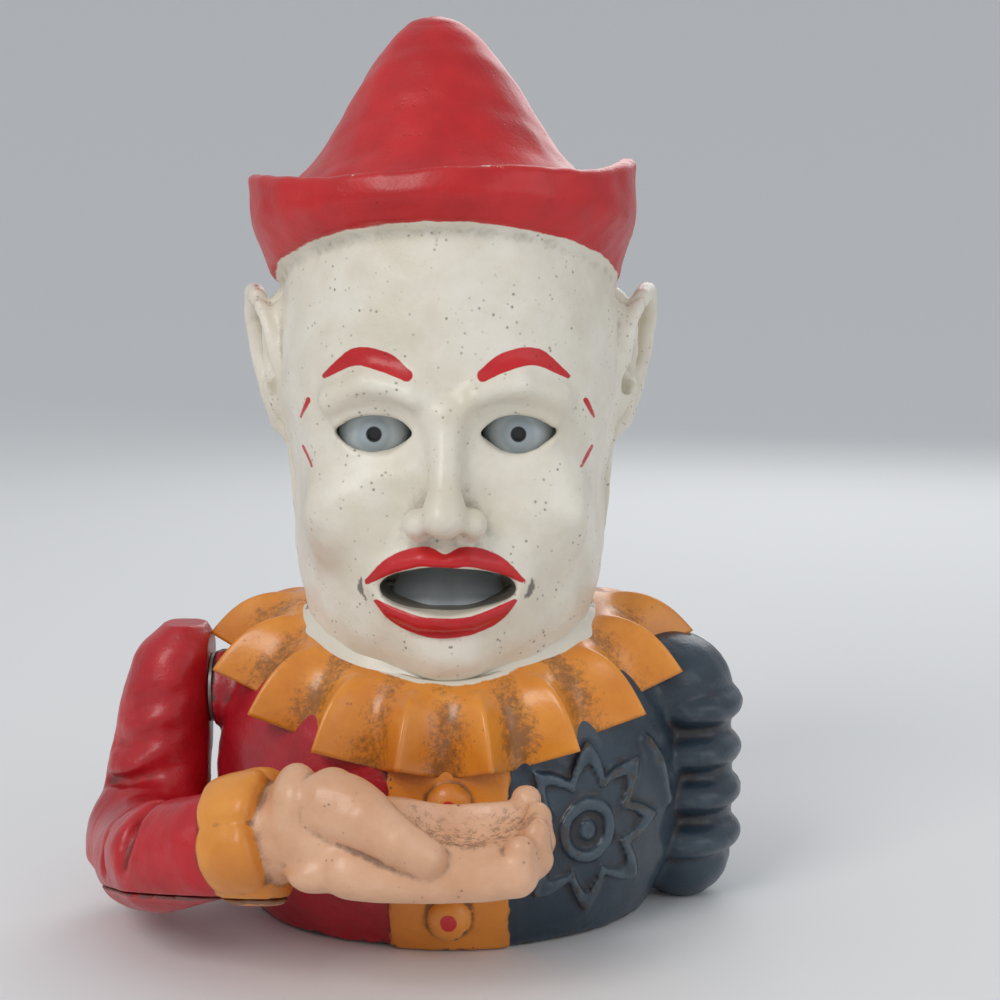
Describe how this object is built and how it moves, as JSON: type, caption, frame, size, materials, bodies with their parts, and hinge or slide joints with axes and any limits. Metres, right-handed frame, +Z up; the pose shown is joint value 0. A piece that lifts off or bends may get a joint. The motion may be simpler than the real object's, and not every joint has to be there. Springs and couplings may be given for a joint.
{
  "type": "mechanical bank",
  "caption": "Cast-iron clown bust bank; a thumb lever at the back lifts the hand to the mouth while the tongue tips and the eyes roll, and the coin drops inside.",
  "frame": {"origin": "on the foot rim's ground plane, under the middle of the head, on the plane where the castings meet", "axes": "+Z up; the figure looks along -Y; its right arm, which lifts, is on the -X side; +Y is its back"},
  "size_m": [0.1401, 0.1268, 0.19],
  "materials": {
    "bust_enamel": "old gloss enamel over sand-cast iron",
    "arm_enamel": "old gloss enamel over sand-cast iron",
    "tongue_enamel": "gloss enamel",
    "eye_enamel": "gloss enamel",
    "lever_iron": "dark, worn bare at the thumb",
    "foot_iron": "dark, dull",
    "steel": "dulled",
    "screw_steel": "dulled, browned"
  },
  "bodies": {
    "case": {"front_casting": "bust_enamel", "rear_casting": "bust_enamel", "base_plate": "foot_iron", "base_plate_screws": "screw_steel", "upper_case_screw": "screw_steel", "lower_case_screw": "screw_steel", "eye_pin": "steel", "tongue_pin": "steel", "trap_pivot_rivet": "steel", "latch_rivet": "steel"},
    "arm": {"arm_casting": "arm_enamel", "arm_cover": "arm_enamel", "arm_cover_screws": "screw_steel", "arm_shaft": "steel", "arm_cross_pin": "steel", "shoulder_washer": "steel", "thumb_lever": "lever_iron", "lever_cross_pin": "steel", "crank": "lever_iron", "crank_cross_pin": "steel", "crank_stud": "steel"},
    "tongue_tipper": {"tongue": "tongue_enamel", "tongue_stud": "steel", "eye_rod_stud": "steel"},
    "pull_rod_body": {"pull_rod": "steel"},
    "eye_rod_body": {"eye_rod": "steel"},
    "eyes": {"right_eye": "eye_enamel", "left_eye": "eye_enamel", "eye_yoke": "lever_iron", "eye_tail_stud": "steel"},
    "trap_door_body": {"trap_door": "foot_iron"},
    "trap_latch_body": {"trap_latch": "foot_iron"}
  },
  "joints": [
    {"name": "arm_lift", "type": "hinge", "parent": "case", "child": "arm", "pos_m": [0, 0, 0.046], "axis": [-1, 0, 0], "range_deg": [0, 42]},
    {"name": "tongue_tip", "type": "hinge", "parent": "case", "child": "tongue_tipper", "pos_m": [0, -0.027, 0.0675], "axis": [-1, 0, 0], "range_deg": [0, 37.3]},
    {"name": "eyes_roll", "type": "hinge", "parent": "case", "child": "eyes", "pos_m": [0, -0.021, 0.104], "axis": [-1, 0, 0], "range_deg": [0, 33.9]},
    {"name": "pull_rod_swing", "type": "hinge", "parent": "tongue_tipper", "child": "pull_rod_body", "pos_m": [0.0165, -0.01569, 0.07881], "axis": [-1, 0, 0], "range_deg": [-38.1, 0]},
    {"name": "eye_rod_swing", "type": "hinge", "parent": "tongue_tipper", "child": "eye_rod_body", "pos_m": [-0.0165, -0.01921, 0.072], "axis": [-1, 0, 0], "range_deg": [-37, 0]},
    {"name": "trap_door_swing", "type": "hinge", "parent": "case", "child": "trap_door_body", "pos_m": [0.0025, 0, 0.004], "axis": [0, 0, -1], "range_deg": [0, 110]},
    {"name": "trap_latch_turn", "type": "hinge", "parent": "case", "child": "trap_latch_body", "pos_m": [-0.0342, 0, 0.0022], "axis": [0, 0, 1], "range_deg": [-90, 90]}
  ],
  "couplings": [
    {"joint": "tongue_tip", "follows": "arm_lift", "ratio": 0.88603},
    {"joint": "eyes_roll", "follows": "arm_lift", "ratio": 0.80501},
    {"joint": "pull_rod_swing", "follows": "arm_lift", "ratio": -0.90633},
    {"joint": "eye_rod_swing", "follows": "arm_lift", "ratio": -0.87928}
  ]
}
